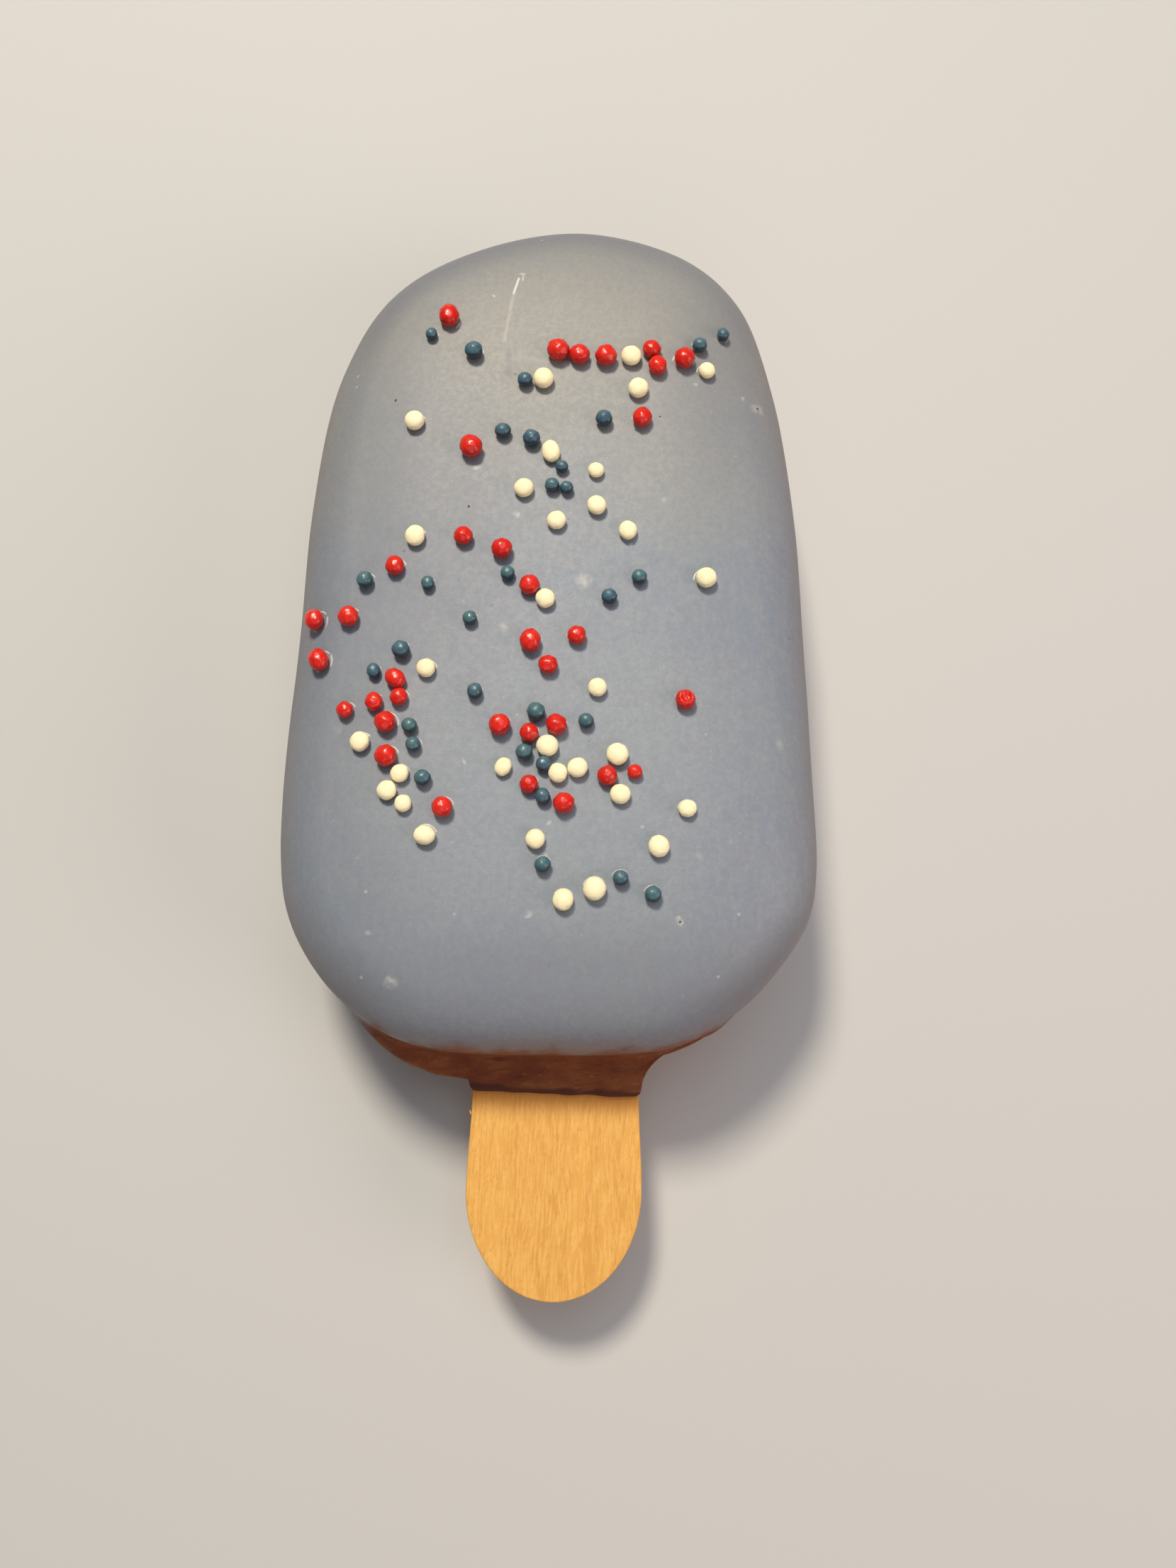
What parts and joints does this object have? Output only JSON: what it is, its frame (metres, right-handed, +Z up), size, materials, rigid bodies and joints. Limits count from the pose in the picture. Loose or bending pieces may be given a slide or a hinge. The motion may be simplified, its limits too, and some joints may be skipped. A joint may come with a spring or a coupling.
{
  "type": "cake pop",
  "caption": "Bar-shaped cake pop in a smooth blue-grey candy coating with a few sugar pearls, on a flat wooden stick.",
  "frame": {"origin": "under the middle of the whole part's box, on the plane of the flat back that it lies on", "axes": "+Z up out of the decorated face, +Y along the bar from the stick towards the rounded top, +X across"},
  "size_m": [0.0538, 0.1098, 0.024],
  "materials": {
    "candy_coating": "satin moulded candy coating, dusty blue-grey",
    "stick_wood": "raw birch with fine lengthwise grain",
    "pearl_red": "semi-gloss red sugar pearls",
    "pearl_cream": "matte cream sugar pearls",
    "pearl_teal": "glossy dark teal sugar pearls"
  },
  "bodies": {
    "root": {"coated_cake": "candy_coating", "stick": "stick_wood"}
  },
  "joints": []
}
